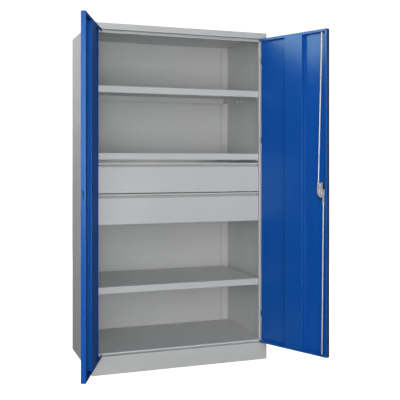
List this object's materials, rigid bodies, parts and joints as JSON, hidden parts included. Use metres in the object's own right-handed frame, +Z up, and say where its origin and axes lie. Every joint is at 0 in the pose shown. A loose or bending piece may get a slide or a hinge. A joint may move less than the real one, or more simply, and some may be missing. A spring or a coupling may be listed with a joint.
{
  "type": "storage cabinet",
  "caption": "Tall steel storage cabinet with hinged double doors, a turning handle with rod lock, shelves and telescopic drawers.",
  "frame": {"origin": "middle of the cabinet's front plane, on the floor", "axes": "+Z up, +Y from the front to the back, +X to the right as seen from the front"},
  "size_m": [1.3971, 1.0842, 1.95],
  "materials": {
    "grey_paint": "light grey powder coat",
    "blue_paint": "blue powder coat",
    "zinc": "bright zinc plate",
    "nickel": "nickel plate",
    "black_plastic": "fine grain, matt"
  },
  "bodies": {
    "carcass": {"side_panel_right": "grey_paint", "side_panel_left": "grey_paint", "back_panel": "grey_paint", "top_panel": "grey_paint", "bottom_panel": "grey_paint", "plinth_front": "grey_paint", "hinge_pins_right": "grey_paint", "hinge_pins_left": "grey_paint", "shelf_upper": "grey_paint", "shelf_middle": "grey_paint", "shelf_lower": "grey_paint", "shelf_brackets_upper": "zinc", "shelf_brackets_middle": "zinc", "shelf_brackets_lower": "zinc", "upper_cabinet_members": "zinc", "lower_cabinet_members": "zinc", "upper_runner_brackets": "grey_paint", "lower_runner_brackets": "grey_paint"},
    "right_door": {"door_leaf_right": "blue_paint", "door_stiffener_right": "blue_paint", "hinge_knuckles_right": "blue_paint", "handle_rose": "black_plastic", "lock_housing": "black_plastic", "case_screws": "zinc"},
    "left_door": {"door_leaf_left": "blue_paint", "door_stiffener_left": "blue_paint", "hinge_knuckles_left": "blue_paint"},
    "lock": {"turn_handle": "black_plastic", "lock_spindle": "zinc", "cam_plate": "zinc", "cam_screw": "zinc"},
    "key_cylinder": {"key_plug": "nickel"},
    "upper_bolt": {"upper_rod": "zinc"},
    "lower_bolt": {"lower_rod": "zinc"},
    "upper_drawer": {"upper_drawer_front": "grey_paint", "upper_drawer_tray": "grey_paint", "upper_drawer_members": "zinc"},
    "lower_drawer": {"lower_drawer_front": "grey_paint", "lower_drawer_tray": "grey_paint", "lower_drawer_members": "zinc"},
    "upper_runners": {"upper_middle_members": "zinc"},
    "lower_runners": {"lower_middle_members": "zinc"}
  },
  "joints": [
    {"name": "right_door_hinge", "type": "hinge", "parent": "carcass", "child": "right_door", "pos_m": [0.4941, 0.0025, 1], "axis": [0, 0, 1], "range_deg": [-114.2, 2]},
    {"name": "left_door_hinge", "type": "hinge", "parent": "carcass", "child": "left_door", "pos_m": [-0.4941, 0.0025, 1], "axis": [0, 0, -1], "range_deg": [-111.3, 4]},
    {"name": "lock_turn", "type": "hinge", "parent": "right_door", "child": "lock", "pos_m": [0.66785, -0.4085, 1.007], "axis": [-0.9121, -0.4099, 0], "range_deg": [-90, 0]},
    {"name": "key_turn", "type": "hinge", "parent": "lock", "child": "key_cylinder", "pos_m": [0.70205, -0.39312, 1.007], "axis": [-0.9121, -0.4099, 0], "range_deg": [-90, 0]},
    {"name": "upper_rod_pin", "type": "hinge", "parent": "lock", "child": "upper_bolt", "pos_m": [0.65727, -0.39351, 1.007], "axis": [-0.9121, -0.4099, 0], "range_deg": [0, 92]},
    {"name": "lower_rod_pin", "type": "hinge", "parent": "lock", "child": "lower_bolt", "pos_m": [0.67203, -0.42635, 1.007], "axis": [-0.9121, -0.4099, 0], "range_deg": [0, 92]},
    {"name": "upper_drawer_slide", "type": "slide", "parent": "carcass", "child": "upper_drawer", "axis": [0, -1, 0], "range_m": [0, 0.48]},
    {"name": "lower_drawer_slide", "type": "slide", "parent": "carcass", "child": "lower_drawer", "axis": [0, -1, 0], "range_m": [0, 0.48]},
    {"name": "upper_runner_slide", "type": "slide", "parent": "carcass", "child": "upper_runners", "axis": [0, -1, 0], "range_m": [0, 0.24]},
    {"name": "lower_runner_slide", "type": "slide", "parent": "carcass", "child": "lower_runners", "axis": [0, -1, 0], "range_m": [0, 0.24]}
  ],
  "couplings": [
    {"joint": "upper_rod_pin", "follows": "lock_turn", "ratio": -1.0126},
    {"joint": "lower_rod_pin", "follows": "lock_turn", "ratio": -1.0128},
    {"joint": "upper_runner_slide", "follows": "upper_drawer_slide", "ratio": 0.5},
    {"joint": "lower_runner_slide", "follows": "lower_drawer_slide", "ratio": 0.5}
  ]
}
